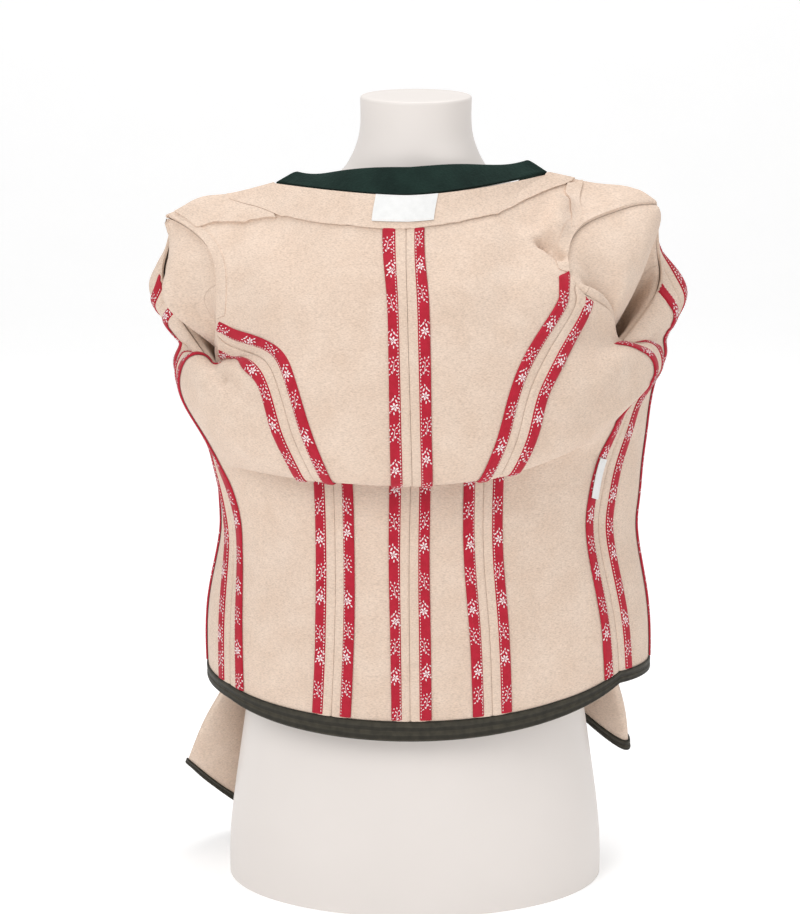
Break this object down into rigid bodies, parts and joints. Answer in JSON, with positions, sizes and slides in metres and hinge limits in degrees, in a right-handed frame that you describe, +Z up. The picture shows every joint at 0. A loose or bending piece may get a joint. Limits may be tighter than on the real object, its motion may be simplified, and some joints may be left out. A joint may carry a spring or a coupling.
{
  "type": "wool jacket on a dress form",
  "caption": "Cream boiled-wool jacket turned inside out, with taped seams, dark stand collar and bound hem, blousing over the waist on a smooth limbless dress form.",
  "frame": {"origin": "centre of the dress form's flat base, on the floor", "axes": "+Z up, -Y the way the jacket's back faces, +X to the right seen from there"},
  "size_m": [0.4943, 0.3356, 0.74],
  "materials": {
    "wool": "felted boiled wool, soft nap",
    "red_tape": "woven cotton bias tape with a small pale sprig print",
    "dark_band": "ribbed dark binding with a stitch row",
    "dark_collar": "felted wool",
    "label": "bare woven satin",
    "form": "satin white"
  },
  "bodies": {
    "root": {"back_centre_left": "wool", "back_centre_right": "wool", "back_side_left": "wool", "back_side_right": "wool", "care_label": "label", "collar": "dark_collar", "cuff_band_left": "dark_band", "cuff_band_right": "dark_band", "dress_form": "form", "front_facing_left": "wool", "front_facing_right": "wool", "front_left": "wool", "front_right": "wool", "front_side_left": "wool", "front_side_right": "wool", "hem_band": "dark_band", "neck_facing_back": "wool", "neck_label": "label", "sleeve_under_left": "wool", "sleeve_under_right": "wool", "sleeve_upper_left": "wool", "sleeve_upper_right": "wool", "tape_back_princess_left_inner": "red_tape", "tape_back_princess_left_outer": "red_tape", "tape_back_princess_right_inner": "red_tape", "tape_back_princess_right_outer": "red_tape", "tape_centre_back_left": "red_tape", "tape_centre_back_right": "red_tape", "tape_front_princess_left_inner": "red_tape", "tape_front_princess_left_outer": "red_tape", "tape_front_princess_right_inner": "red_tape", "tape_front_princess_right_outer": "red_tape", "tape_side_left_back": "red_tape", "tape_side_left_front": "red_tape", "tape_side_right_back": "red_tape", "tape_side_right_front": "red_tape"}
  },
  "joints": []
}
